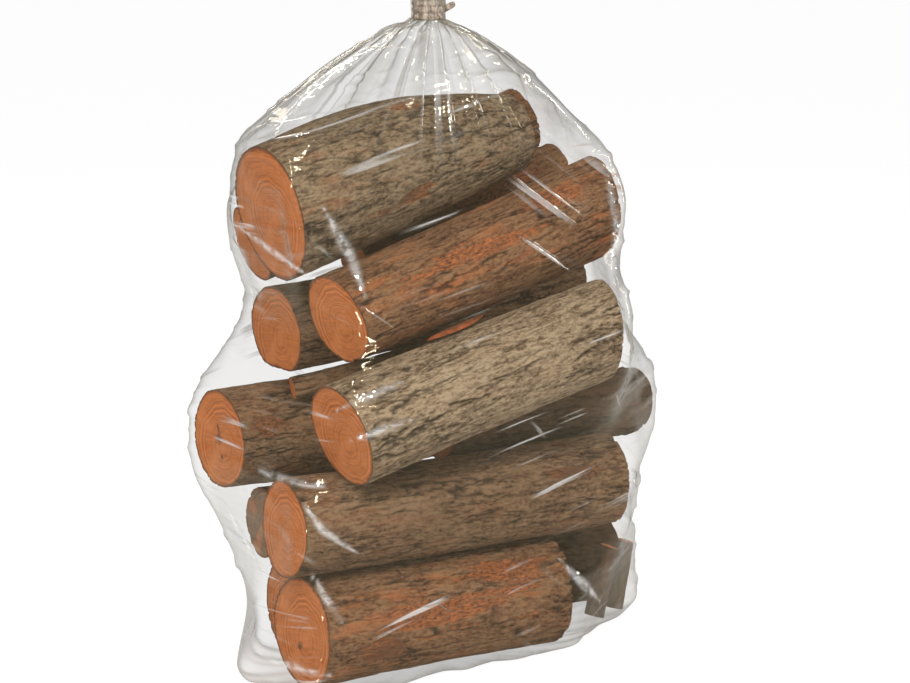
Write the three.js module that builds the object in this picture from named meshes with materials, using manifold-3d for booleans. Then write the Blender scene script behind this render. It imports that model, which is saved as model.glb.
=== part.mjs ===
// A bundle of firewood: round logs lying across a clear film bag that is tied at its neck.
// Millimetres, +Z up. X runs along the logs and +Y goes from the front row to the back row.
// The origin is on the ground, under the middle of the bundle.
import * as THREE from 'three';
import { mergeVertices } from 'three/addons/utils/BufferGeometryUtils.js';
import Module from 'manifold-3d';

// How finely logs and sticks are cut into facets: sides around and steps along.
const LOG_SIDES = 20;
const LOG_STEPS = 5;
const STICK_SIDES = 10;
const STICK_STEPS = 3;

// The bag: film thickness, its clearance around the wood, and how the film draws in below what it touches,
// in millimetres of width per millimetre of height. It draws in more under the lowest row of logs.
const FILM = 2;
const FILM_CLEARANCE = 5.2;
const FALL_BELOW = 0.45;
const FALL_UNDER_BASE = 1.1;
const BASE_ROW = 60;
const BAG_SIDES = 48;
const BAG_AXIS = new THREE.Vector3(6, 0, 0);
const BAG_STRETCH = 1.7;
const PULL_DIRECTIONS = 96;
const GRAZING = 0.05;

// The sealed corners of the bag's bottom, which stick out as two ears.
const EARS = [[-204, -8, 0], [248, -6, 0]];

// Above what it touches the film runs to the tied neck: straight from the lower logs, and in a dome from
// the logs above the shoulder. The levels of the bag's wall lie closer together towards the roof.
const SHOULDER_HEIGHT = 400;
const ROOF_HEIGHT = 576;
const ROOF_POWER = 0.65;
const WALL_LEVELS = 26;
const LEVEL_EASE = 1.25;

// The gathered neck above the roof, and the short tail that opens above the tie and leans to one side.
const NECK_RADIUS = 11;
const NECK_BORE = 4;
const NECK_RISE = 2;
const NECK_FOLDS = 8;
const PLEAT_DEPTH = 0.12;
const NECK_TOP = 601;
const TAIL_TOP = 640;
const TAIL_RADIUS = 24;
const TAIL_STEPS = [0.3, 0.65, 1];
const TAIL_LEAN = new THREE.Vector3(-16, -4, 0);

// The strip wound round the neck, and its loose end. Each turn bulges over the part of its height that is
// left between a bulge share at its bottom and one at its top.
const TIE_BOTTOM = 579;
const TIE_SIDES = 20;
const TIE_TURNS = 3;
const TIE_TURN_HEIGHT = 6;
const TIE_THICKNESS = 3.2;
const TIE_BULGE = 0.3;
const TIE_GAP = 0.9;
const TIE_END = { length: 12, width: 6, thickness: 1.8, turn: -0.55, rise: 0.5 };

// Round pieces of wood. Each runs from its left sawn end to its right one, with a radius at each end.
// lobes is how far the section departs from a circle, belly how much thicker the middle is, bow how far
// the middle rises, cuts and leans how far each sawn end slants over the log's width and height, and
// flat the depth of a split face below.
const LOBES = [{ folds: 2, weight: 1 }, { folds: 3, weight: 0.6 }, { folds: 5, weight: 0.4 }];
const LOGS = [
  { name: 'log_bottom_front', left: [-158, -46, 54], right: [106, -46, 53], radii: [50, 50],
    colour: '#8c5a38', lobes: 0.025, bow: 1.5, cuts: [4, 14] },
  { name: 'log_second_front', left: [-175, -46, 149], right: [176, -46, 149], radii: [43, 41],
    colour: '#82644b', lobes: 0.03, bow: -2, cuts: [6, 12] },
  { name: 'log_centre_front', left: [-136, -79, 233], right: [127, -96, 302], radii: [45, 43],
    colour: '#96826a', lobes: 0.02, bow: 2, cuts: [-8, 6], leans: [0, 26] },
  { name: 'log_upper_front', left: [-119, -46, 328], right: [160, -43, 405], radii: [41, 46],
    colour: '#7d5538', lobes: 0.035, bow: -2, cuts: [-4, 16], leans: [0, 22] },
  { name: 'log_top_front', left: [-163, -8, 420], right: [98, -2, 474], radii: [60, 34],
    colour: '#7d6e5a', lobes: 0.02, belly: 10, bow: 8, cuts: [6, 4] },
  { name: 'log_left_back', left: [-169, 77, 206], right: [103, 77, 206], radii: [43, 41],
    colour: '#6e543f', lobes: 0.025, belly: 3, bow: -1, cuts: [-4, 6] },
  { name: 'log_split_back', left: [-122, 54, 303], right: [200, 58, 322], radii: [41, 38],
    colour: '#75563c', lobes: 0.02, bow: 0, cuts: [0, 5], flat: 8 },
  { name: 'log_top_back', left: [-124, 92, 378], right: [171, 90, 471], radii: [36, 32],
    colour: '#7a4a2e', lobes: 0.025, belly: 2, bow: -1, cuts: [8, 4] },
  { name: 'log_upper_right', left: [-60, 22, 367], right: [173, 34, 427], radii: [22, 29],
    colour: '#78432a', lobes: 0.03, bow: 1, cuts: [0, 8] },
  { name: 'log_right_back', left: [14, -2, 210], right: [230, -1, 208], radii: [31, 33],
    colour: '#54402f', lobes: 0.03, bow: 0, cuts: [6, -10], leans: [0, 14] },
  { name: 'log_second_back', left: [-134, 63, 127], right: [196, 60, 126], radii: [32, 33],
    colour: '#5c4635', lobes: 0.025, bow: -1, cuts: [4, 6] },
  { name: 'log_bottom_back', left: [-115, 53, 48], right: [238, 47, 46], radii: [43, 42],
    colour: '#503c2d', lobes: 0.025, bow: 1, cuts: [6, 8] },
];

// Thin pieces that fill the gaps between the logs.
const STICKS = [
  { name: 'split_stick', left: [-114, 40, 252], right: [40, 4, 280], radii: [11, 11],
    colour: '#6b4a33', lobes: 0.08, bow: 0, cuts: [2, 2], flat: 3 },
  { name: 'short_stick_a', left: [174, -29, 12], right: [194, -25, 76], radii: [9.5, 8.5],
    colour: '#5f452f', lobes: 0.06, bow: 0.5, cuts: [1, 3] },
  { name: 'short_stick_b', left: [207, -15, 12], right: [222, -13, 75], radii: [8.5, 7],
    colour: '#6b4c31', lobes: 0.06, bow: 0.5, cuts: [1, 2] },
];

// The loose flake of bark that lies behind the top of the centre log.
const CHIP = {
  name: 'bark_chip', at: [-18, -78, 315], length: 66, width: 14, thickness: 5,
  pitch: 0.27, roll: -0.2, uneven: 0.18, curl: 10, colour: '#54301d',
};

const FILM_COLOUR = '#e1dccf';
const TIE_COLOUR = '#968473';

const wasm = await Module();
wasm.setup();

function vector(list) {
  return new THREE.Vector3(...list);
}

// A mesh of one piece, with the finish of its surface.
function piece(name, geometry, colour, roughness) {
  const material = new THREE.MeshStandardMaterial({ color: colour, roughness, metalness: 0 });
  const mesh = new THREE.Mesh(geometry, material);
  mesh.name = name;
  return mesh;
}

// Moves every vertex of a geometry by a function that gets its position and changes it in place.
function reshape(geometry, change) {
  const places = geometry.attributes.position;
  const point = new THREE.Vector3();
  for (let i = 0; i < places.count; i += 1) {
    point.fromBufferAttribute(places, i);
    change(point, i);
    places.setXYZ(i, point.x, point.y, point.z);
  }
  geometry.computeVertexNormals();
  return geometry;
}

// A log is a cylinder whose section has lobes, which tapers, bows and ends in slanting saw cuts.
// It is shaped along Z first, with the split face below, and then laid between its two ends.
function log(shape, sides, steps, order) {
  const { name, left, right, radii, colour, lobes, belly = 0, bow, cuts, leans = [0, 0], flat } = shape;
  const from = vector(left);
  const to = vector(right);
  const length = from.distanceTo(to);
  const geometry = new THREE.CylinderGeometry(1, 1, 1, sides, steps);
  geometry.rotateX(Math.PI / 2);
  reshape(geometry, (p) => {
    const along = p.z + 0.5;
    const around = Math.atan2(p.y, p.x);
    const middle = Math.sin(Math.PI * along);
    const size = THREE.MathUtils.lerp(radii[0], radii[1], along) + belly * middle;
    let swell = size;
    for (const { folds, weight } of LOBES) {
      swell += size * lobes * weight * Math.cos(folds * (around + order) + weight * along);
    }
    const slant = THREE.MathUtils.lerp(cuts[0], cuts[1], along) * p.x * 0.5;
    const lean = THREE.MathUtils.lerp(leans[0], leans[1], along) * p.y * 0.5;
    p.x *= swell;
    p.y *= swell;
    if (flat) {
      p.y = Math.max(p.y, flat - size);
    }
    p.y += bow * middle;
    p.z = p.z * length + slant + lean;
  });
  const axis = to.clone().sub(from).normalize();
  const across = vector([0, 0, 1]).cross(axis).normalize();
  const upward = axis.clone().cross(across);
  const turn = new THREE.Matrix4().makeBasis(across, upward, axis);
  geometry.applyMatrix4(turn);
  geometry.translate(...from.add(to).multiplyScalar(0.5));
  return piece(name, geometry, colour, 0.9);
}

// The flake is a thin curved plate with an uneven outline.
function barkChip({ name, at, length, width, thickness, pitch, roll, uneven, curl, colour }) {
  const geometry = new THREE.SphereGeometry(0.5, 12, 6);
  reshape(geometry, (p) => {
    const outline = 1 + uneven * Math.sin(7 * p.x) * Math.cos(5 * p.y + 1);
    p.set(p.x * length, p.y * width * outline, p.z * thickness - curl * p.y * p.y);
  });
  geometry.rotateX(roll);
  geometry.rotateY(-pitch);
  geometry.translate(...at);
  return piece(name, geometry, colour, 0.9);
}

// The rays from the bag's axis along which its film is placed, closer together on its long sides.
const RAYS = Array.from({ length: BAG_SIDES }, (_, i) => {
  const turn = (2 * Math.PI * i) / BAG_SIDES;
  const angle = Math.atan2(Math.sin(turn), BAG_STRETCH * Math.cos(turn));
  return THREE.MathUtils.euclideanModulo(angle, 2 * Math.PI);
});

// How far the film is pulled out in each direction at one height: the furthest of all the points that
// it touches, each less the width that the film loses between that point's height and this one.
function filmPull(height, touching, step) {
  const pulls = [];
  for (let i = 0; i < PULL_DIRECTIONS; i += 1) {
    const angle = (2 * Math.PI * i) / PULL_DIRECTIONS;
    const outward = new THREE.Vector3(Math.cos(angle), Math.sin(angle), 0);
    let pull = NECK_RADIUS - FILM_CLEARANCE;
    for (const p of touching) {
      const reach = outward.x * p.x + outward.y * p.y;
      const apart = Math.max(Math.abs(height - p.z) - step / 2, 0);
      const climbed = Math.min(apart / (ROOF_HEIGHT - p.z - step / 2), 1);
      const kept = (1 - climbed) ** (p.z > SHOULDER_HEIGHT ? ROOF_POWER : 1);
      const fall = p.z < BASE_ROW ? FALL_UNDER_BASE : FALL_BELOW;
      pull = Math.max(pull, height > p.z ? reach * kept : reach - fall * apart);
    }
    pulls.push({ angle, reach: pull + FILM_CLEARANCE });
  }
  return pulls;
}

// The film lies straight between the places that pull on it, so its outline at one height is convex:
// along each ray it ends where the nearest of the pulled straight lines crosses.
function filmReach(pulls, angle) {
  let reach = Infinity;
  for (const pull of pulls) {
    const slant = Math.cos(pull.angle - angle);
    if (slant > GRAZING) {
      reach = Math.min(reach, pull.reach / slant);
    }
  }
  return reach;
}

// Pushes the film of one height out wherever a straight piece of it would cut off a point of the wood.
function clearWood(reaches, height, wood, step) {
  for (const p of wood) {
    if (Math.abs(p.z - height) <= step) {
      const angle = THREE.MathUtils.euclideanModulo(Math.atan2(p.y, p.x), 2 * Math.PI);
      const here = (RAYS.findLastIndex((ray) => ray <= angle) + BAG_SIDES) % BAG_SIDES;
      const next = (here + 1) % BAG_SIDES;
      const before = THREE.MathUtils.euclideanModulo(angle - RAYS[here], 2 * Math.PI);
      const after = THREE.MathUtils.euclideanModulo(RAYS[next] - angle, 2 * Math.PI);
      const straight = (reaches[here] * reaches[next] * Math.sin(before + after))
        / (reaches[here] * Math.sin(before) + reaches[next] * Math.sin(after));
      const push = Math.max((Math.hypot(p.x, p.y) + FILM_CLEARANCE) / straight, 1);
      reaches[here] *= push;
      reaches[next] *= push;
    }
  }
}

// The rows of the bag's outside, from its bottom up to the open end of the tail. Each has its height,
// how far it leans to the side, and the reach of its wall along each ray.
function bagRows(touching, wood) {
  const rows = [];
  const level = (i) => ROOF_HEIGHT * (1 - (1 - i / WALL_LEVELS) ** LEVEL_EASE);
  for (let i = 0; i <= WALL_LEVELS; i += 1) {
    const height = level(i);
    const step = i === 0 ? level(1) : height - level(i - 1);
    const pulls = filmPull(height, touching, step);
    const reaches = RAYS.map((ray) => filmReach(pulls, ray));
    clearWood(reaches, height, wood, step);
    rows.push({ height, lean: 0, reaches });
  }
  const neck = RAYS.map(() => NECK_RADIUS);
  rows.push({ height: ROOF_HEIGHT + NECK_RISE, lean: 0, reaches: neck });
  rows.push({ height: NECK_TOP, lean: 0, reaches: neck });
  for (const open of TAIL_STEPS) {
    const height = THREE.MathUtils.lerp(NECK_TOP, TAIL_TOP, open);
    const size = THREE.MathUtils.lerp(NECK_RADIUS, TAIL_RADIUS, open);
    const pleat = (i) => Math.cos((2 * Math.PI * NECK_FOLDS * i) / BAG_SIDES);
    rows.push({ height, lean: open ** 2, reaches: RAYS.map((_, i) => size * (1 + PLEAT_DEPTH * pleat(i))) });
  }
  return rows;
}

// The bag is one wall: up the outside, over the open end of the tail and down the inside.
function bag(pieces) {
  const wood = [];
  for (const mesh of pieces) {
    const places = mesh.geometry.attributes.position;
    for (let i = 0; i < places.count; i += 1) {
      wood.push(new THREE.Vector3().fromBufferAttribute(places, i).sub(BAG_AXIS));
    }
  }
  const ears = EARS.map((ear) => vector(ear).sub(BAG_AXIS));
  const outside = bagRows([...wood, ...ears], wood);
  const inside = outside.map((row, i) => {
    const wall = row.height > ROOF_HEIGHT ? NECK_RADIUS - NECK_BORE : FILM;
    return { ...row, height: i === 0 ? FILM : row.height, reaches: row.reaches.map((reach) => reach - wall) };
  });
  const middle = (height) => ({ height, lean: 0, reaches: RAYS.map(() => 0) });
  const rows = [middle(0), ...outside, ...inside.reverse(), middle(FILM)];
  const profile = rows.map((row) => new THREE.Vector2(row.reaches[0], row.height));
  const geometry = new THREE.LatheGeometry(profile, BAG_SIDES);
  reshape(geometry, (p, i) => {
    const row = rows[i % rows.length];
    const ray = Math.floor(i / rows.length) % BAG_SIDES;
    p.set(row.reaches[ray] * Math.cos(RAYS[ray]), row.reaches[ray] * Math.sin(RAYS[ray]), row.height);
    p.addScaledVector(TAIL_LEAN, row.lean).add(BAG_AXIS);
  });
  return piece('bag', geometry, FILM_COLOUR, 0.2);
}

// A closed geometry as a solid that can be joined, and back again.
function solid(geometry) {
  const bare = geometry.clone();
  bare.deleteAttribute('normal');
  bare.deleteAttribute('uv');
  const shared = mergeVertices(bare, 1e-3);
  const triVerts = [];
  for (let i = 0; i < shared.index.count; i += 3) {
    const corners = [0, 1, 2].map((k) => shared.index.getX(i + k));
    if (new Set(corners).size === 3) {
      triVerts.push(...corners);
    }
  }
  return new wasm.Manifold(new wasm.Mesh({
    numProp: 3,
    vertProperties: new Float32Array(shared.attributes.position.array),
    triVerts: new Uint32Array(triVerts),
  }));
}

function geometryOf(body) {
  const mesh = body.getMesh();
  const geometry = new THREE.BufferGeometry();
  geometry.setAttribute('position', new THREE.BufferAttribute(new Float32Array(mesh.vertProperties), 3));
  geometry.setIndex(new THREE.BufferAttribute(new Uint32Array(mesh.triVerts), 1));
  geometry.computeVertexNormals();
  return geometry;
}

// The tie is a ring with one bulge for each turn of the strip, joined to its loose end.
function neckTie() {
  const inner = NECK_RADIUS + TIE_GAP;
  const profile = [new THREE.Vector2(inner, 0)];
  for (let turn = 0; turn < TIE_TURNS; turn += 1) {
    const low = turn * TIE_TURN_HEIGHT;
    profile.push(new THREE.Vector2(inner + 0.5 * TIE_THICKNESS, low));
    profile.push(new THREE.Vector2(inner + TIE_THICKNESS, low + TIE_BULGE * TIE_TURN_HEIGHT));
    profile.push(new THREE.Vector2(inner + TIE_THICKNESS, low + (1 - TIE_BULGE) * TIE_TURN_HEIGHT));
  }
  const top = TIE_TURNS * TIE_TURN_HEIGHT;
  profile.push(new THREE.Vector2(inner + 0.5 * TIE_THICKNESS, top));
  profile.push(new THREE.Vector2(inner, top));
  profile.push(profile[0].clone());
  const ring = new THREE.LatheGeometry(profile, TIE_SIDES);
  ring.rotateX(Math.PI / 2);
  const end = new THREE.BoxGeometry(TIE_END.length, TIE_END.thickness, TIE_END.width);
  end.translate(TIE_END.length / 2, 0, 0);
  end.rotateY(-TIE_END.rise);
  end.translate(inner + 0.5 * TIE_THICKNESS, 0, 0);
  end.rotateZ(TIE_END.turn);
  end.translate(0, 0, top / 2);
  const geometry = geometryOf(solid(ring).add(solid(end)));
  geometry.translate(BAG_AXIS.x, BAG_AXIS.y, TIE_BOTTOM);
  return piece('neck_tie', geometry, TIE_COLOUR, 0.5);
}

const logs = LOGS.map((each, i) => log(each, LOG_SIDES, LOG_STEPS, i));
const sticks = STICKS.map((each, i) => log(each, STICK_SIDES, STICK_STEPS, i));
const wood = [...logs, ...sticks];

const bundle = new THREE.Group();
bundle.add(...wood, barkChip(CHIP), bag(wood), neckTie());

// The origin goes to the ground, under the middle of the bundle's box.
const box = new THREE.Box3().setFromObject(bundle);
const middle = box.getCenter(new THREE.Vector3());
bundle.position.set(-middle.x, -middle.y, -box.min.z);

export default bundle;
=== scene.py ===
# %% [markdown]
# # A bag of firewood
# The real thing is a dozen sawn branches in a clear film bag, tied at the neck. The wood is rough and dull,
# the film is thin and glossy, and the picture lives from that contrast. The construction fixes where every
# log lies, so this lesson only dresses it: bark and sawn ends on the logs, then the film, the tie, the light.

# %% The fixed frame
import math

import bpy
import numpy as np
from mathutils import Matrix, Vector


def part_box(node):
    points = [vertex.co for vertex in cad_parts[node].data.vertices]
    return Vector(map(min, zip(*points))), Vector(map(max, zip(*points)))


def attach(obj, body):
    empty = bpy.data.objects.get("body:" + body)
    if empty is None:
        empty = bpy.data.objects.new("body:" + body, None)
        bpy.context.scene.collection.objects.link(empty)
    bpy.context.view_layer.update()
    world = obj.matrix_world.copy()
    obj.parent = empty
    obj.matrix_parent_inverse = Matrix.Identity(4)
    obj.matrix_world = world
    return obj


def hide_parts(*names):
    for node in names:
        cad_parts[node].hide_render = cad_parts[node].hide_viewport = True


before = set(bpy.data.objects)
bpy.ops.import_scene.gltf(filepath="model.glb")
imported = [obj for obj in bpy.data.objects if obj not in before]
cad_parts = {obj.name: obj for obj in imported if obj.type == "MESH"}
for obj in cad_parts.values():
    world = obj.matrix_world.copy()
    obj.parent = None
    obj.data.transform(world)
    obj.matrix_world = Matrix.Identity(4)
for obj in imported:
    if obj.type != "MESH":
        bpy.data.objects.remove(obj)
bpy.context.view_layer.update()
MM = 0.001

# %% [markdown]
# ## The camera
# The photograph looks slightly down on the left front corner with a long lens, so the sawn ends show as
# narrow ovals. A camera is easiest to place by the angles around the point that it looks at.

# %% Camera
CAMERA_AZIMUTH = math.radians(-34)
CAMERA_ELEVATION = math.radians(10.5)
CAMERA_DISTANCE = 2.6
CAMERA_TARGET = Vector((-0.0037, -0.0076, 0.2895))
CAMERA_LENS = 113.8

camera_back = Vector((
    math.sin(CAMERA_AZIMUTH) * math.cos(CAMERA_ELEVATION),
    -math.cos(CAMERA_AZIMUTH) * math.cos(CAMERA_ELEVATION),
    math.sin(CAMERA_ELEVATION),
))
bpy.ops.object.select_all(action="DESELECT")
bpy.ops.object.camera_add(location=CAMERA_TARGET + CAMERA_DISTANCE * camera_back)
camera = bpy.context.object
camera.rotation_euler = (-camera_back).to_track_quat("-Z", "Y").to_euler()
camera.data.lens = CAMERA_LENS
camera.data.clip_end = 50
bpy.context.scene.camera = camera
print("camera at", [round(x, 3) for x in camera.location])

# %% [markdown]
# ## Small tools
# Every log starts as a copy of its plain solid. These helpers do what a hand does in the window: click one
# object, go into edit mode, merge the loose triangles, apply a modifier. Node trees get a helper too, which
# adds a node and fills its inputs with numbers or with links.


# %% Helpers for meshes
def only(piece):
    """Selects one object and nothing else."""
    bpy.ops.object.select_all(action="DESELECT")
    piece.select_set(True)
    bpy.context.view_layer.objects.active = piece


def solid_copy(node, name):
    """A new object with its own merged copy of a solid's mesh."""
    piece = bpy.data.objects.new(name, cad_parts[node].data.copy())
    bpy.context.collection.objects.link(piece)
    piece.data.materials.clear()
    only(piece)
    bpy.ops.mesh.customdata_custom_splitnormals_clear()
    bpy.context.tool_settings.mesh_select_mode = (False, False, True)
    bpy.ops.object.mode_set(mode="EDIT")
    bpy.ops.mesh.select_all(action="SELECT")
    bpy.ops.mesh.remove_doubles(threshold=1e-6)
    bpy.ops.object.mode_set(mode="OBJECT")
    return piece


def apply_modifier(piece, kind, **settings):
    """Adds a modifier, sets it up and applies it."""
    modifier = piece.modifiers.new(kind.title(), kind)
    for key, value in settings.items():
        setattr(modifier, key, value)
    only(piece)
    bpy.ops.object.modifier_apply(modifier=modifier.name)


def subdivide(piece, levels):
    """Refines a mesh with the subdivision surface modifier."""
    apply_modifier(piece, "SUBSURF", levels=levels, render_levels=levels)


def corners(mesh):
    """The places of a mesh's vertices, as an array."""
    places = np.empty(len(mesh.vertices) * 3)
    mesh.vertices.foreach_get("co", places)
    return places.reshape(-1, 3)


def store(mesh, name, values):
    """Writes one number or one vector for each vertex into a named attribute."""
    values = np.asarray(values, np.float32)
    kind = "FLOAT" if values.ndim == 1 else "FLOAT_VECTOR"
    field = "value" if values.ndim == 1 else "vector"
    mesh.attributes.new(name, kind, "POINT").data.foreach_set(field, values.ravel())


def triangles(piece):
    return sum(len(face.vertices) - 2 for face in piece.data.polygons)


# %% Helpers for node trees
def place(tree, kind, inputs=None, **settings):
    """Adds a node, sets its options, and fills its inputs with numbers or links."""
    node = tree.nodes.new(kind)
    for key, value in settings.items():
        setattr(node, key, value)
    for key, value in (inputs or {}).items():
        if isinstance(value, bpy.types.NodeSocket):
            tree.links.new(value, node.inputs[key])
        else:
            node.inputs[key].default_value = value
    return node


def sums(tree, operation, first, second=0.0):
    """One step of arithmetic on two values."""
    return place(tree, "ShaderNodeMath", {0: first, 1: second}, operation=operation).outputs[0]


def ranged(tree, value, low, high, to_low=0.0, to_high=1.0):
    """A smooth step of a value from one range to another."""
    limits = {"Value": value, "From Min": low, "From Max": high, "To Min": to_low, "To Max": to_high}
    return place(tree, "ShaderNodeMapRange", limits, interpolation_type="SMOOTHSTEP").outputs["Result"]


def scaled(tree, vector, factors):
    """A vector with each of its parts multiplied."""
    return place(tree, "ShaderNodeVectorMath", {0: vector, 1: factors}, operation="MULTIPLY").outputs[0]


def noise(tree, vector, scale, detail=2.0, roughness=0.5, **settings):
    """A noise texture's value."""
    inputs = {"Vector": vector, "Scale": scale, "Detail": detail, "Roughness": roughness}
    return place(tree, "ShaderNodeTexNoise", inputs, **settings).outputs[0]


def blended(tree, factor, first, second, kind="MIX"):
    """Two colours mixed by a factor."""
    inputs = {0: factor, 6: first, 7: second}
    return place(tree, "ShaderNodeMix", inputs, data_type="RGBA", blend_type=kind).outputs[2]


def colour(red, green, blue):
    """A colour as it is read off a screen, turned into the linear values that shaders use."""
    def linear(value):
        value /= 255
        return value / 12.92 if value <= 0.04045 else ((value + 0.055) / 1.055) ** 2.4
    return (linear(red), linear(green), linear(blue), 1.0)


# %% [markdown]
# ## Bark as relief
# Bark is furrowed along the trunk: long cracks, ridges between them, a granular crust, and bare patches
# where it has broken off. All of it is longer along the log than around it, so the textures are laid in the
# log's own directions, with the length squeezed. A geometry nodes tree moves the surface in and out, and
# leaves its cracks, ridges and bare patches as attributes, so that the colours later follow the same relief.

# %% Relief tree
RELIEF = {"swell": 1.0 * MM, "crust": 1.7 * MM, "lumps": 3.0 * MM, "crack": 2.4 * MM, "bare": 1.5 * MM}


def relief_tree():
    tree = bpy.data.node_groups.new("bark relief", "GeometryNodeTree")
    tree.is_modifier = True
    for name, kind in (("Geometry", "Geometry"), ("Seed", "Float"), ("Crack", "Float")):
        tree.interface.new_socket(name, in_out="INPUT", socket_type="NodeSocket" + kind)
    tree.interface.new_socket("Geometry", in_out="OUTPUT", socket_type="NodeSocketGeometry")
    given = place(tree, "NodeGroupInput").outputs

    def attribute(name, kind="FLOAT"):
        node = place(tree, "GeometryNodeInputNamedAttribute", {"Name": name}, data_type=kind)
        return node.outputs["Attribute"]

    grain = attribute("grain", "FLOAT_VECTOR")
    shift = scaled(tree, given["Seed"], (0.37, 0.11, 0.23))
    placed = place(tree, "ShaderNodeVectorMath", {0: grain, 1: shift}).outputs[0]
    furrow_place = scaled(tree, placed, (0.09, 1, 1))
    warp = place(tree, "ShaderNodeTexNoise", {"Vector": placed, "Scale": 55.0, "Detail": 3.0})
    warp = warp.outputs["Color"]
    warp = scaled(tree, warp, (0.0, 0.012, 0.012))
    furrow_place = place(tree, "ShaderNodeVectorMath", {0: furrow_place, 1: warp}).outputs[0]
    cells = place(tree, "ShaderNodeTexVoronoi", {"Vector": furrow_place, "Scale": 92.0},
                  feature="DISTANCE_TO_EDGE").outputs["Distance"]
    crack = ranged(tree, cells, 0.0, 0.075, 1.0, 0.0)
    broken = ranged(tree, noise(tree, scaled(tree, placed, (0.45, 1, 1)), 48.0), 0.40, 0.58)
    crack = sums(tree, "MULTIPLY", sums(tree, "MULTIPLY", crack, broken), given["Crack"])
    ridge = noise(tree, scaled(tree, placed, (0.3, 1, 1)), 330.0, 4.0, 0.62)
    lumps = noise(tree, scaled(tree, placed, (0.3, 1, 1)), 60.0, 2.0)
    ragged = noise(tree, scaled(tree, placed, (0.14, 1, 1)), 110.0, 3.0, 0.6)
    ragged = sums(tree, "MULTIPLY", sums(tree, "SUBTRACT", ragged, 0.5), 1.5)
    bare = ranged(tree, sums(tree, "ADD", attribute("bare"), ragged), 0.44, 0.56)
    covered = sums(tree, "SUBTRACT", 1.0, sums(tree, "MULTIPLY", bare, 0.7))
    crust_height = sums(tree, "MULTIPLY", sums(tree, "SUBTRACT", ridge, 0.5), RELIEF["crust"])
    lump_height = sums(tree, "MULTIPLY", sums(tree, "SUBTRACT", lumps, 0.5), RELIEF["lumps"])
    height = sums(tree, "ADD", crust_height, lump_height)
    height = sums(tree, "SUBTRACT", height, sums(tree, "MULTIPLY", crack, RELIEF["crack"]))
    height = sums(tree, "ADD", sums(tree, "MULTIPLY", height, covered), RELIEF["swell"])
    height = sums(tree, "SUBTRACT", height, sums(tree, "MULTIPLY", bare, RELIEF["bare"]))
    height = sums(tree, "MULTIPLY", height, attribute("side"))
    offset = place(tree, "ShaderNodeVectorMath", {0: attribute("outward", "FLOAT_VECTOR"), "Scale": height},
                   operation="SCALE").outputs[0]
    shape = place(tree, "GeometryNodeSetPosition", {"Geometry": given["Geometry"], "Offset": offset})
    for name, value in (("crack", crack), ("ridge", ridge), ("stripped", bare)):
        shape = place(tree, "GeometryNodeStoreNamedAttribute",
                      {"Geometry": shape.outputs[0], "Name": name, "Value": value})
    place(tree, "NodeGroupOutput", {"Geometry": shape.outputs[0]})
    return tree


BARK_RELIEF = relief_tree()
print("bark relief:", len(BARK_RELIEF.nodes), "nodes")

# %% [markdown]
# ## Colours of bark
# Weathered bark is pale on the ridges, brown on their flanks and nearly black in the cracks. The paler ridges and
# darker low ground are partly weathering and partly painted light and shade, and the black of the cracks is partly
# the dark inner bark and partly painted shade. Where it has come off, the inner bark is a fibrous red-brown. One
# shader group makes these colours for every log, and each kind of bark places it with its own tones.


# %% Bark finish
def group(name, inputs, outputs):
    """An empty shader group with its named sockets, and its input and output nodes."""
    tree = bpy.data.node_groups.new(name, "ShaderNodeTree")
    for socket, kind in inputs:
        tree.interface.new_socket(socket, in_out="INPUT", socket_type="NodeSocket" + kind)
    for socket, kind in outputs:
        tree.interface.new_socket(socket, in_out="OUTPUT", socket_type="NodeSocket" + kind)
    return tree, place(tree, "NodeGroupInput").outputs, place(tree, "NodeGroupOutput")


def read(tree, name, output="Fac"):
    """An attribute of the piece."""
    return place(tree, "ShaderNodeAttribute", attribute_name=name).outputs[output]


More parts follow.
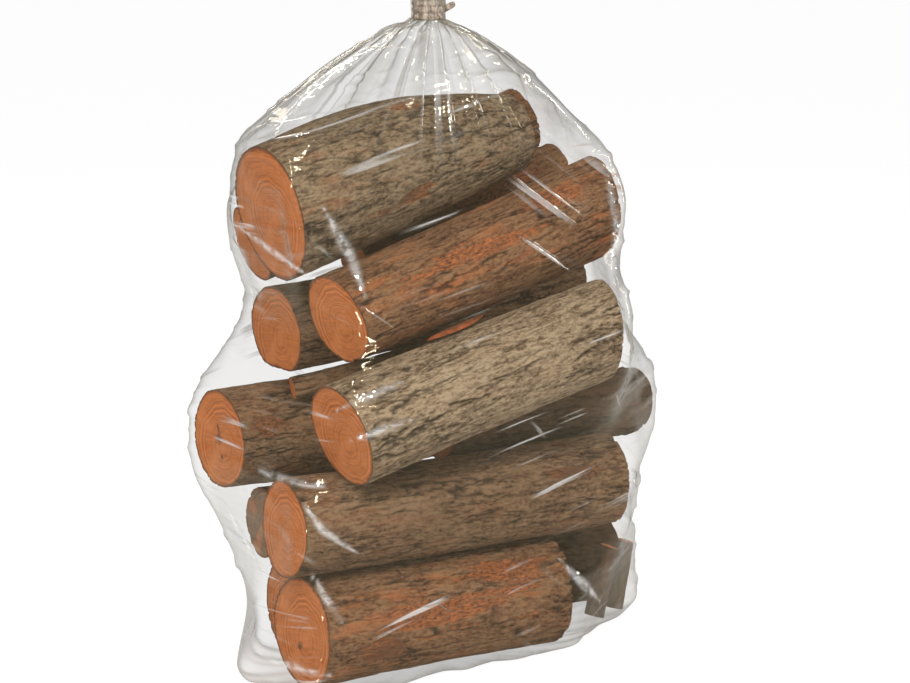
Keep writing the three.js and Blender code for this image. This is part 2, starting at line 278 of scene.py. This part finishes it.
def bark_group():
    tones = [("Pale", "Color"), ("Brown", "Color"), ("Dark", "Color"), ("Red", "Color"), ("Blush", "Float")]
    tree, given, out = group("bark colours", tones,
                             [("Color", "Color"), ("Roughness", "Float"), ("Height", "Float")])
    grain = read(tree, "grain", "Vector")
    fibre = noise(tree, scaled(tree, grain, (0.16, 1, 1)), 900.0, 4.0, 0.7)
    crumb = noise(tree, scaled(tree, grain, (0.5, 1, 1)), 520.0, 3.0, 0.7)
    cloud = noise(tree, scaled(tree, grain, (0.5, 1, 1)), 26.0, 3.0, 0.6)
    blush = noise(tree, scaled(tree, grain, (0.2, 1, 1)), 60.0, 4.0, 0.65)
    crumbs = sums(tree, "MULTIPLY", sums(tree, "SUBTRACT", crumb, 0.5), 0.9)
    # Painted light and shade mixed with tone: higher relief is painted paler and lower relief darker, with random
    # crumbs and clouds
    relief_shade_and_tone = sums(tree, "ADD", read(tree, "ridge"), crumbs)
    relief_shade_and_tone = sums(tree, "ADD", relief_shade_and_tone, sums(tree, "MULTIPLY", sums(tree, "SUBTRACT", cloud, 0.5), 0.5))
    bark = blended(tree, ranged(tree, relief_shade_and_tone, 0.30, 0.72), given["Brown"], given["Pale"])
    bark = blended(tree, ranged(tree, relief_shade_and_tone, 0.42, 0.16), bark, given["Dark"])
    warm = sums(tree, "MULTIPLY", ranged(tree, blush, 0.52, 0.70), given["Blush"])
    bark = blended(tree, warm, bark, given["Red"])
    # Cracks painted nearly black: partly the dark inner bark, partly painted shade
    bark = blended(tree, sums(tree, "MULTIPLY", read(tree, "crack"), 0.9), bark, colour(34, 24, 17))
    streak = ranged(tree, fibre, 0.32, 0.70, 0.40, 1.15)
    inner = place(tree, "ShaderNodeHueSaturation", {"Color": given["Red"], "Value": streak}).outputs[0]
    inner = blended(tree, ranged(tree, crumb, 0.56, 0.36, 0.0, 0.75), inner, given["Dark"])
    inner = blended(tree, ranged(tree, cloud, 0.52, 0.36, 0.0, 0.8), inner, given["Brown"])
    torn = sums(tree, "MULTIPLY", read(tree, "stripped"), ranged(tree, fibre, 0.30, 0.58, 0.35, 1.0))
    tint = blended(tree, torn, bark, inner)
    height = sums(tree, "ADD", sums(tree, "MULTIPLY", crumb, 0.6), sums(tree, "MULTIPLY", fibre, 0.5))
    rough = sums(tree, "SUBTRACT", 0.95, sums(tree, "MULTIPLY", read(tree, "stripped"), 0.2))
    for socket, value in (("Color", tint), ("Roughness", rough), ("Height", height)):
        tree.links.new(value, out.inputs[socket])
    return tree


BARK_COLOURS = bark_group()


def finish_of(name):
    """A new material with its tree emptied, its surface shader and its output."""
    material = bpy.data.materials.new(name)
    material.use_nodes = True
    tree = material.node_tree
    tree.nodes.clear()
    surface = place(tree, "ShaderNodeBsdfPrincipled")
    place(tree, "ShaderNodeOutputMaterial", {"Surface": surface.outputs[0]})
    return material, tree, surface


def bump(tree, surface, height, strength, distance):
    inputs = {"Height": height, "Strength": strength, "Distance": distance}
    node = place(tree, "ShaderNodeBump", inputs)
    tree.links.new(node.outputs[0], surface.inputs["Normal"])


def bark_finish(name, pale, brown, dark, red, blush):
    material, tree, surface = finish_of(name)
    tones = place(tree, "ShaderNodeGroup", node_tree=BARK_COLOURS)
    for socket, tone in (("Pale", pale), ("Brown", brown), ("Dark", dark), ("Red", red)):
        tones.inputs[socket].default_value = colour(*tone)
    tones.inputs["Blush"].default_value = blush
    tree.links.new(tones.outputs["Color"], surface.inputs["Base Color"])
    tree.links.new(tones.outputs["Roughness"], surface.inputs["Roughness"])
    surface.inputs["Specular IOR Level"].default_value = 0.25
    bump(tree, surface, tones.outputs["Height"], 0.7, 1.2 * MM)
    return material


BARKS = {
    "grey": bark_finish("bark_grey", (172, 150, 120), (108, 86, 63), (46, 34, 24), (136, 88, 58), 0.12),
    "olive": bark_finish("bark_olive", (152, 130, 101), (90, 71, 52), (36, 27, 20), (158, 98, 60), 0.35),
    "red": bark_finish("bark_red", (142, 106, 74), (98, 63, 40), (40, 25, 16), (180, 104, 56), 0.55),
    "brown": bark_finish("bark_brown", (144, 114, 84), (98, 70, 48), (42, 29, 20), (150, 92, 56), 0.3),
    "dark": bark_finish("bark_dark", (98, 75, 56), (68, 48, 34), (32, 22, 16), (112, 60, 36), 0.2),
}
print("kinds of bark:", list(BARKS))

# %% [markdown]
# ## Sawn ends
# The heartwood is orange. Growth rings lie around the pith, fine rays cross them, the saw has left faint
# straight scratches, and a thin dark line of bark closes the rim. The rings need the distance from the pith,
# which the log's own directions give, so every end has its rings in the right place.


# %% End grain finish
def end_grain(name, tone):
    material, tree, surface = finish_of(name)
    grain = read(tree, "grain", "Vector")
    across = scaled(tree, grain, (0, 1, 1))
    wobble = place(tree, "ShaderNodeTexNoise", {"Vector": across, "Scale": 30.0, "Detail": 2.0})
    wobble = scaled(tree, wobble.outputs["Color"], (0, 0.012, 0.012))
    bent = place(tree, "ShaderNodeVectorMath", {0: across, 1: wobble}).outputs[0]
    radius = place(tree, "ShaderNodeVectorMath", {0: bent}, operation="LENGTH").outputs["Value"]
    ring = place(tree, "ShaderNodeTexNoise",
                 {"W": sums(tree, "MULTIPLY", radius, 420.0), "Scale": 1.0, "Detail": 3.0, "Roughness": 0.6},
                 noise_dimensions="1D").outputs[0]
    scratch = noise(tree, scaled(tree, grain, (0, 0.1, 1)), 700.0, 3.0, 0.6)
    pores = noise(tree, across, 1100.0, 2.0, 0.7)
    cloud = noise(tree, across, 45.0, 3.0)
    base = colour(*tone)
    shade = sums(tree, "ADD", sums(tree, "MULTIPLY", ring, 0.55), sums(tree, "MULTIPLY", scratch, 0.4))
    shade = sums(tree, "ADD", shade, sums(tree, "MULTIPLY", pores, 0.3))
    value = ranged(tree, shade, 0.46, 0.80, 0.58, 1.18)
    wood = place(tree, "ShaderNodeHueSaturation", {"Color": base, "Value": value}).outputs[0]
    wood = blended(tree, ranged(tree, cloud, 0.45, 0.7, 0.0, 0.45), wood, colour(212, 130, 74))
    wood = blended(tree, ranged(tree, read(tree, "rim"), 0.93, 0.975), wood, colour(128, 70, 38))
    wood = blended(tree, ranged(tree, read(tree, "rim"), 0.972, 0.995), wood, colour(84, 56, 38))
    wood = blended(tree, read(tree, "heart"), wood, colour(60, 30, 16))
    tree.links.new(wood, surface.inputs["Base Color"])
    surface.inputs["Roughness"].default_value = 0.8
    surface.inputs["Specular IOR Level"].default_value = 0.3
    bump(tree, surface, shade, 0.35, 0.5 * MM)
    return material


ENDS = {
    "orange": end_grain("end_orange", (196, 112, 54)),
    "weathered": end_grain("end_weathered", (126, 96, 74)),
}

# %% [markdown]
# ## The logs
# A log's solid is a coarse prism. Its sawn ends are the two fans of triangles around the corners where most
# edges meet. Those faces get the end grain, their rims stay sharp, and the rest is turned back into quads so
# that the subdivision surface runs smoothly round the trunk. Then every vertex learns where it is in the
# log: how far along, how far to the side and up, which way is outwards, and where bark is missing.

# %% Log builder
FINE = 4
COARSE = 3


def end_middles(mesh):
    """The corners in the middle of the two sawn ends, the left one first."""
    edges = np.empty(len(mesh.edges) * 2, int)
    mesh.edges.foreach_get("vertices", edges)
    meeting = np.bincount(edges, minlength=len(mesh.vertices))
    return sorted(np.argsort(meeting)[-2:], key=lambda i: mesh.vertices[i].co.x)


def cut_ends(piece):
    """Gives the end faces their own material and a sharp rim, and makes quads of the rest."""
    middles = end_middles(piece.data)
    places = [piece.data.vertices[i].co.copy() for i in middles]
    for face in piece.data.polygons:
        face.select = any(i in middles for i in face.vertices)
        face.material_index = int(face.select)
    only(piece)
    bpy.ops.object.mode_set(mode="EDIT")
    bpy.ops.mesh.select_all(action="INVERT")
    bpy.ops.mesh.tris_convert_to_quads(face_threshold=math.pi, shape_threshold=math.pi)
    bpy.ops.mesh.region_to_loop()
    bpy.ops.mesh.mark_sharp()
    bpy.ops.object.mode_set(mode="OBJECT")
    crease = piece.data.attributes.new("crease_edge", "FLOAT", "EDGE")
    crease.data.foreach_set("value", [float(edge.select) for edge in piece.data.edges])
    print(piece.name, "has", sum(edge.select for edge in piece.data.edges), "rim edges")
    return places


def log_directions(piece, left, right, patches, hearts):
    """Writes each vertex's place in the log, and the masks that depend on it."""
    mesh = piece.data
    axis = np.array((right - left).normalized())
    side = np.cross((0, 0, 1), axis)
    side /= np.linalg.norm(side)
    up = np.cross(axis, side)
    length = (right - left).length
    away = corners(mesh) - np.array(left)
    along = away @ axis
    across = np.stack([away @ side, away @ up], 1)
    radius = np.linalg.norm(across, axis=1)
    turn = np.arctan2(across[:, 1], across[:, 0])
    outward = (across[:, :1] * side + across[:, 1:] * up) / np.maximum(radius, 1e-6)[:, None]
    on_end = np.zeros(len(radius), bool)
    on_side = np.zeros(len(radius), bool)
    for face in mesh.polygons:
        (on_end if face.material_index else on_side)[list(face.vertices)] = True
    rim = np.ones(len(radius))
    for half in (along < 0.5 * length, along >= 0.5 * length):
        edge = on_end & on_side & half
        face = on_end & half
        reach = np.interp(turn[face], turn[edge], radius[edge], period=2 * math.pi)
        rim[face] = np.minimum(radius[face] / reach, 1.0)
    bare = np.zeros(len(radius))
    for middle, around, reach, spread in patches:
        apart = np.abs((turn - math.radians(around) + math.pi) % (2 * math.pi) - math.pi)
        bare = np.maximum(bare, 1 - np.hypot((along / length - middle) / reach, apart / math.radians(spread)))
    heart = np.zeros(len(radius))
    for sideways, upwards, wide, tall in hearts:
        apart = np.hypot((across[:, 0] / MM - sideways) / wide, (across[:, 1] / MM - upwards) / tall)
        heart = np.maximum(heart, np.clip(1.6 - 1.3 * apart, 0, 1) * (along < 0.5 * length))
    store(mesh, "grain", np.column_stack([along, across]))
    store(mesh, "outward", outward)
    store(mesh, "side", np.where(on_side, 1.0, rim ** 8))
    store(mesh, "rim", rim)
    store(mesh, "bare", np.clip(bare, 0, 1) * 0.9)
    store(mesh, "heart", heart)


def dress_log(node, bark, seed, end="orange", levels=FINE, crack=1.0, patches=(), hearts=()):
    """A log with bark relief, its sawn ends, and its finishes."""
    piece = solid_copy(node, node + "_wood")
    left, right = cut_ends(piece)
    subdivide(piece, levels)
    log_directions(piece, left, right, patches, hearts)
    relief = piece.modifiers.new("Bark", "NODES")
    relief.node_group = BARK_RELIEF
    values = {"Seed": float(seed), "Crack": crack}
    for socket in BARK_RELIEF.interface.items_tree:
        if socket.in_out == "INPUT" and socket.name in values:
            relief[socket.identifier] = values[socket.name]
    only(piece)
    bpy.ops.object.modifier_apply(modifier=relief.name)
    bpy.ops.object.shade_smooth(keep_sharp_edges=True)
    piece.data.materials.append(BARKS[bark])
    piece.data.materials.append(ENDS[end])
    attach(piece, "root")
    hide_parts(node)
    print(piece.name, triangles(piece), "triangles")
    return piece


# %% [markdown]
# ## Which log is which
# Each log gets its own bark, its own seed and, where the photograph shows it, bare patches: how far along
# the log, at which angle around it, and how long and wide. Angles start at the side away from the viewer and
# go up over the top, so 90 is the top of the log and 180 is the front. Hearts are dark checks in the left
# end, in millimetres from the pith. Logs at the back, which show less, are refined less.

# %% Dress the logs
LOOKS = {
    "log_bottom_front": dict(bark="red", seed=1, patches=[(0.72, 140, 0.34, 42), (0.45, 165, 0.5, 34),
                                                         (0.2, 190, 0.2, 30)], hearts=[(4, -14, 5, 3)]),
    "log_second_front": dict(bark="brown", seed=2, patches=[(0.8, 150, 0.18, 22)]),
    "log_centre_front": dict(bark="grey", seed=3, crack=1.0, patches=[(0.12, 170, 0.03, 8)]),
    "log_upper_front": dict(bark="red", seed=4, patches=[(0.45, 150, 0.45, 32), (0.8, 125, 0.25, 40)]),
    "log_top_front": dict(bark="olive", seed=5, patches=[(0.45, 190, 0.16, 22), (0.55, 110, 0.14, 16)]),
    "log_left_back": dict(bark="brown", seed=6, patches=[(0.1, 160, 0.12, 30)],
                          hearts=[(2, 10, 2, 3.5), (0, 2, 1.5, 4), (-4, -16, 2, 2.5)]),
    "log_split_back": dict(bark="brown", seed=7),
    "log_top_back": dict(bark="red", seed=8, levels=COARSE, patches=[(0.9, 120, 0.2, 50)]),
    "log_upper_right": dict(bark="red", seed=9, levels=COARSE, patches=[(0.6, 130, 0.5, 50)]),
    "log_right_back": dict(bark="dark", seed=10, levels=COARSE),
    "log_second_back": dict(bark="dark", seed=11, levels=COARSE, end="weathered"),
    "log_bottom_back": dict(bark="dark", seed=12, levels=COARSE),
    "split_stick": dict(bark="brown", seed=13, levels=COARSE),
    "short_stick_a": dict(bark="dark", seed=14, levels=COARSE),
    "short_stick_b": dict(bark="dark", seed=15, levels=COARSE),
}
logs = [dress_log(node, **look) for node, look in LOOKS.items()]

# %% [markdown]
# ## The loose flake of bark
# A curled piece of bark has dropped between two logs. Its solid already has the outline, so the copy is only
# refined and roughened by the same relief tree, and takes a dark red bark.

# %% Bark flake
flake = solid_copy("bark_chip", "bark_chip_flake")
subdivide(flake, 3)
flake_places = corners(flake.data)
flake_middle = flake_places.mean(0)
store(flake.data, "grain", flake_places - flake_middle)
store(flake.data, "outward", np.tile((0.0, -0.6, 0.8), (len(flake_places), 1)))
store(flake.data, "side", np.ones(len(flake_places)))
store(flake.data, "bare", np.full(len(flake_places), 0.25))
flake_relief = flake.modifiers.new("Bark", "NODES")
flake_relief.node_group = BARK_RELIEF
only(flake)
bpy.ops.object.modifier_apply(modifier=flake_relief.name)
bpy.ops.object.shade_smooth()
FLAKE_TONES = ((140, 84, 50), (96, 52, 30), (44, 26, 18), (190, 92, 42))
flake.data.materials.append(bark_finish("bark_flake", *FLAKE_TONES, blush=0.7))
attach(flake, "root")
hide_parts("bark_chip")

# %% [markdown]
# ## The film bag
# The bag is one thin sheet of clear film. Its solid is a wall with an outside and an inside, so the copy keeps
# only the outside: the faces that look away from the bag's upright axis, and the bottom.

# %% Film sheet
FILM_LEVELS = 3
neck_low, neck_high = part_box("neck_tie")
NECK_MIDDLE = 0.5 * (neck_low + neck_high)


def film_sheet():
    piece = solid_copy("bag", "film_bag")
    for face in piece.data.polygons:
        away = face.center - NECK_MIDDLE
        away.z = 0
        under = face.center.z < 1.5 * MM
        outside = face.normal.z < 0 if under else face.normal.dot(away) > 0
        face.select = not outside
    only(piece)
    bpy.ops.object.mode_set(mode="EDIT")
    bpy.ops.mesh.delete(type="FACE")
    bpy.ops.mesh.select_all(action="SELECT")
    bpy.ops.mesh.tris_convert_to_quads(face_threshold=math.pi, shape_threshold=math.pi)
    bpy.ops.object.mode_set(mode="OBJECT")
    return piece


film = film_sheet()
print("film sheet:", len(film.data.polygons), "faces before refining")
subdivide(film, FILM_LEVELS)

# %% [markdown]
# ## Folds in the film
# Film that is gathered at the neck makes pleats that fade out over the shoulders. Below, it is pulled from one
# log end to the next and makes long low ridges, and loose stretches crumple. Each kind of fold is a noise
# that is squeezed along its own direction, and all of them push outwards only, away from the wood.

# %% Film folds
PLEATS = 15
PLEAT_HEIGHT = 4.5 * MM
PULL_HEIGHT = 3.0 * MM
CRUMPLE_HEIGHT = 5.0 * MM


def folds_tree():
    tree = bpy.data.node_groups.new("film folds", "GeometryNodeTree")
    tree.is_modifier = True
    tree.interface.new_socket("Geometry", in_out="INPUT", socket_type="NodeSocketGeometry")
    tree.interface.new_socket("Geometry", in_out="OUTPUT", socket_type="NodeSocketGeometry")
    given = place(tree, "NodeGroupInput").outputs
    spot = place(tree, "GeometryNodeInputPosition").outputs[0]
    normal = place(tree, "GeometryNodeInputNormal").outputs[0]
    away = place(tree, "ShaderNodeVectorMath", {0: spot, 1: NECK_MIDDLE}, operation="SUBTRACT").outputs[0]
    parts = place(tree, "ShaderNodeSeparateXYZ", {0: away}).outputs
    turn = sums(tree, "ARCTAN2", parts["Y"], parts["X"])
    wander = sums(tree, "MULTIPLY", noise(tree, spot, 9.0), 7.0)
    pleat = sums(tree, "COSINE", sums(tree, "ADD", sums(tree, "MULTIPLY", turn, float(PLEATS)), wander))
    pleat = sums(tree, "POWER", sums(tree, "ADD", sums(tree, "MULTIPLY", pleat, 0.5), 0.5), 2.0)
    above = ranged(tree, parts["Z"], -0.15, -0.02)
    gathered = sums(tree, "MULTIPLY", sums(tree, "MULTIPLY", pleat, above), PLEAT_HEIGHT)
    pulled = noise(tree, scaled(tree, spot, (0.14, 0.14, 1)), 75.0, 2.0)
    pulled = sums(tree, "MULTIPLY", ranged(tree, pulled, 0.5, 0.75), PULL_HEIGHT)
    crumple = noise(tree, scaled(tree, spot, (1, 1, 0.7)), 11.0, 2.0, noise_type="RIDGED_MULTIFRACTAL")
    crumple = ranged(tree, crumple, 0.6, 1.8)
    height = sums(tree, "ADD", gathered, sums(tree, "ADD", pulled, sums(tree, "MULTIPLY", crumple, CRUMPLE_HEIGHT)))
    standing = place(tree, "ShaderNodeSeparateXYZ", {0: spot}).outputs["Z"]
    height = sums(tree, "MULTIPLY", height, ranged(tree, standing, 2 * MM, 40 * MM))
    offset = place(tree, "ShaderNodeVectorMath", {0: normal, "Scale": height}, operation="SCALE").outputs[0]
    shape = place(tree, "GeometryNodeSetPosition", {"Geometry": given["Geometry"], "Offset": offset})
    ridge = sums(tree, "MAXIMUM", ranged(tree, crumple, 0.75, 1.0), sums(tree, "MULTIPLY", pleat, above))
    shape = place(tree, "GeometryNodeStoreNamedAttribute",
                  {"Geometry": shape.outputs[0], "Name": "fold", "Value": ridge})
    place(tree, "NodeGroupOutput", {"Geometry": shape.outputs[0]})
    return tree


folds = film.modifiers.new("Folds", "NODES")
folds.node_group = folds_tree()
only(film)
bpy.ops.object.modifier_apply(modifier=folds.name)
bpy.ops.object.shade_smooth()


# %% [markdown]
# ## Painted highlights where the film is pulled tight
# A few creases of the real bag catch the light much more than the rest: where the film spans from one log end
# to the next, and along the shoulders. Their highlights are painted on the film as whiter, more opaque streaks.
# Each is a short line of points on the film, in millimetres, with half its width. A line cuts straight through a
# bulging sheet, so nearness is measured as seen from the front.

# %% Painted highlights on pulled creases
PAINTED_HIGHLIGHTS = [
    (7, (-178, -65, 434), (-152, -68, 389), (-145, -82, 352)),
    (5, (-182, -91, 261), (-124, -114, 285)),
    (5, (-178, -107, 237), (-126, -123, 253)),
    (5, (-209, -75, 186), (-196, -90, 159), (-155, -88, 129)),
    (4, (-208, 10, 195), (-186, -96, 194)),
    (5, (-201, -80, 118), (-174, -91, 69)),
    (4, (-193, 62, 405), (-179, -59, 366)),
    (7, (43, -10, 551), (77, -48, 507), (110, -69, 462)),
    (7, (-203, -15, 486), (-134, -8, 534), (-64, -3, 569)),
    (6, (112, -78, 445), (115, -89, 405), (90, -124, 344)),
    (6, (57, -88, 95), (120, -64, 41)),
    (5, (-222, -18, 34), (-187, -87, 27)),
    (4, (-203, 70, 154), (-207, -6, 102)),
]
BULGE = 25 * MM
FRONT = np.array(camera_back)


def across_view(vectors):
    return vectors - np.multiply.outer(vectors @ FRONT, FRONT)


def nearness(places, half_width, points):
    """How near each place is to a line of points, from 0 to 1, on a line that thins towards its ends."""
    best = np.zeros(len(places))
    for step, (first, second) in enumerate(zip(points, points[1:])):
        start = np.array(first) * MM
        run = np.array(second) * MM - start
        level = across_view(run)
        share = np.clip((places - start) @ level / (level @ level), 0, 1)
        gap = places - start - np.multiply.outer(share, run)
        depth = np.maximum(np.abs(gap @ FRONT) - BULGE, 0)
        apart = np.linalg.norm(across_view(gap), axis=1) + depth
        width = half_width * MM * np.sin(math.pi * (step + share) / (len(points) - 1)).clip(0.2)
        best = np.maximum(best, np.clip(1.4 * (1 - apart / width), 0, 1))
    return best


film_places = corners(film.data)
# The mask of the painted highlights along these creases
store(film.data, "painted_highlight", np.max([nearness(film_places, width, line) for width, *line in PAINTED_HIGHLIGHTS], axis=0))
print("creases that catch the light:", len(PAINTED_HIGHLIGHTS))

# %% [markdown]
# ## The look of film
# Clear film shows by three things: a faint beige veil that thickens where it turns away from the viewer,
# sharp reflections of the lights, and bundles of fine straight streaks where it is pulled tight. The streaks are
# mostly painted highlights, partly the whitening of stretched film: whiter and more opaque lines. A streak is
# the peak of a noise that is stretched along one direction. On the shoulders the streaks run to the neck.

# %% Film finish
STREAK_LEANS = (math.radians(-38), math.radians(14))
STRETCH = (0.04, 0.04, 1)


def peaks(tree, vector, scale, low, high):
    """Thin lines where a noise is at its highest."""
    return ranged(tree, noise(tree, vector, scale, 1.0, 0.4), low, high)


def leaning_streaks(tree, spot, lean):
    """Bundles of streaks that rise to the right by an angle."""
    turned = place(tree, "ShaderNodeVectorRotate", {"Vector": spot, "Angle": lean}, rotation_type="Y_AXIS")
    lines = peaks(tree, scaled(tree, turned.outputs[0], STRETCH), 170.0, 0.62, 0.74)
    shifted = place(tree, "ShaderNodeVectorMath", {0: spot, 1: (3 * lean, 0, lean)}).outputs[0]
    return sums(tree, "MULTIPLY", lines, ranged(tree, noise(tree, shifted, 11.0, 1.0), 0.52, 0.66))


def film_finish():
    material, tree, surface = finish_of("clear_film")
    spot = place(tree, "ShaderNodeTexCoord").outputs["Object"]
    away = place(tree, "ShaderNodeVectorMath", {0: spot, 1: NECK_MIDDLE}, operation="SUBTRACT").outputs[0]
    level = scaled(tree, away, (1, 1, 0))
    heading = place(tree, "ShaderNodeVectorMath", {0: level}, operation="NORMALIZE").outputs[0]
    high = ranged(tree, place(tree, "ShaderNodeSeparateXYZ", {0: away}).outputs["Z"], -0.15, -0.05)
    to_neck = sums(tree, "MULTIPLY", peaks(tree, heading, 13.0, 0.56, 0.70), high)
    first, second = (leaning_streaks(tree, spot, lean) for lean in STREAK_LEANS)
    # The streaks: mostly painted highlights, partly the whitening of stretched film; the painted highlights of the
    # creases join them
    line = sums(tree, "MAXIMUM", sums(tree, "MAXIMUM", first, second), to_neck)
    patchy = ranged(tree, noise(tree, spot, 90.0, 2.0), 0.30, 0.55, 0.35, 1.0)
    line = sums(tree, "MAXIMUM", line, sums(tree, "MULTIPLY", read(tree, "painted_highlight"), patchy))
    crumple = noise(tree, spot, 30.0, 2.0, 0.5, noise_type="RIDGED_MULTIFRACTAL")
    pulled = noise(tree, scaled(tree, spot, (0.2, 0.2, 1)), 70.0, 2.0, 0.5)
    height = sums(tree, "ADD", sums(tree, "MULTIPLY", crumple, 0.25), sums(tree, "MULTIPLY", pulled, 0.8))
    height = sums(tree, "ADD", height, sums(tree, "MULTIPLY", line, 0.3))
    facing = place(tree, "ShaderNodeLayerWeight", {"Blend": 0.35}).outputs["Facing"]
    alpha = ranged(tree, facing, 0.25, 1.0, 0.12, 0.75)
    alpha = sums(tree, "ADD", alpha, sums(tree, "MULTIPLY", read(tree, "fold"), 0.2))
    # Painted highlights: the film is more opaque along the streaks
    alpha = sums(tree, "ADD", alpha, sums(tree, "MULTIPLY", line, 0.42))
    tree.links.new(alpha, surface.inputs["Alpha"])
    # Painted highlights: the film is near white along the streaks
    tint = blended(tree, line, colour(150, 139, 113), colour(250, 248, 243))
    tree.links.new(tint, surface.inputs["Base Color"])
    surface.inputs["Metallic"].default_value = 0.6
    surface.inputs["Roughness"].default_value = 0.07
    bump(tree, surface, height, 0.6, 5 * MM)
    return material


film.data.materials.append(film_finish())
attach(film, "root")
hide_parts("bag")
FILM_AREA = sum(face.area for face in film.data.polygons)
print("film bag:", triangles(film), "triangles,", round(FILM_AREA, 3), "square metres")

# %% [markdown]
# ## The tie
# A strip of brownish plastic is wound round the gathered neck. Its solid gives the three turns and the loose
# end, which are refined and crumpled.

# %% Neck tie
tie = solid_copy("neck_tie", "neck_tie_strip")
subdivide(tie, 2)
only(tie)
bpy.ops.object.shade_smooth()


def tie_finish():
    material, tree, surface = finish_of("tie_plastic")
    place_on = place(tree, "ShaderNodeTexCoord").outputs["Object"]
    crease = noise(tree, scaled(tree, place_on, (1, 1, 0.5)), 220.0, 4.0, 0.65)
    tint = blended(tree, ranged(tree, crease, 0.35, 0.65), colour(104, 88, 74), colour(186, 170, 152))
    tree.links.new(tint, surface.inputs["Base Color"])
    surface.inputs["Roughness"].default_value = 0.4
    bump(tree, surface, crease, 0.8, 2 * MM)
    return material


tie.data.materials.append(tie_finish())
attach(tie, "root")
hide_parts("neck_tie")

# %% [markdown]
# ## Floor and light
# A pale floor and a white surround keep the picture as plain as the photograph. Film shows only by what it
# reflects, so tall narrow softboxes stand to the left and right, and a wide one hangs above.

# %% Floor
bpy.ops.object.select_all(action="DESELECT")
bpy.ops.mesh.primitive_plane_add(size=60, location=(0, 0, -0.4 * MM))
floor = bpy.context.object
floor.name = "floor"
floor_material, floor_tree, floor_surface = finish_of("pale_floor")
floor_surface.inputs["Roughness"].default_value = 0.9
floor_surface.inputs["Specular IOR Level"].default_value = 0.0
floor_surface.inputs["Emission Color"].default_value = (1, 1, 1, 1)
seen = place(floor_tree, "ShaderNodeLightPath").outputs["Is Camera Ray"]
floor_tint = blended(floor_tree, seen, (0.85, 0.85, 0.85, 1), (0.16, 0.16, 0.16, 1))
floor_tree.links.new(floor_tint, floor_surface.inputs["Base Color"])
floor_tree.links.new(sums(floor_tree, "MULTIPLY", seen, 0.93), floor_surface.inputs["Emission Strength"])
floor.data.materials.append(floor_material)


# %% Lights
def softbox(name, at, width, height, watts):
    """An area light that looks at the middle of the bundle."""
    bpy.ops.object.select_all(action="DESELECT")
    bpy.ops.object.light_add(type="AREA", location=at)
    light = bpy.context.object
    light.name = name
    light.data.shape = "RECTANGLE"
    light.data.size = width
    light.data.size_y = height
    light.data.energy = watts
    light.rotation_euler = (Vector((0, 0, 0.3)) - Vector(at)).to_track_quat("-Z", "Y").to_euler()
    return light


softbox("key_left", (-2.2, -1.6, 1.6), 0.14, 1.7, 58)
softbox("front_top", (-0.6, -2.0, 2.4), 1.2, 0.16, 46)
softbox("right_edge", (2.2, -0.3, 1.2), 0.2, 1.8, 14)
softbox("back_top", (0.3, 2.0, 2.2), 1.5, 0.4, 16)

world = bpy.data.worlds.new("white_surround")
world.use_nodes = True
bpy.context.scene.world = world
surround = world.node_tree.nodes["Background"]
surround.inputs["Color"].default_value = (1, 1, 1, 1)
surround.inputs["Strength"].default_value = 0.3
bpy.context.scene.view_settings.view_transform = "Standard"
bpy.context.scene.cycles.transparent_max_bounces = 32
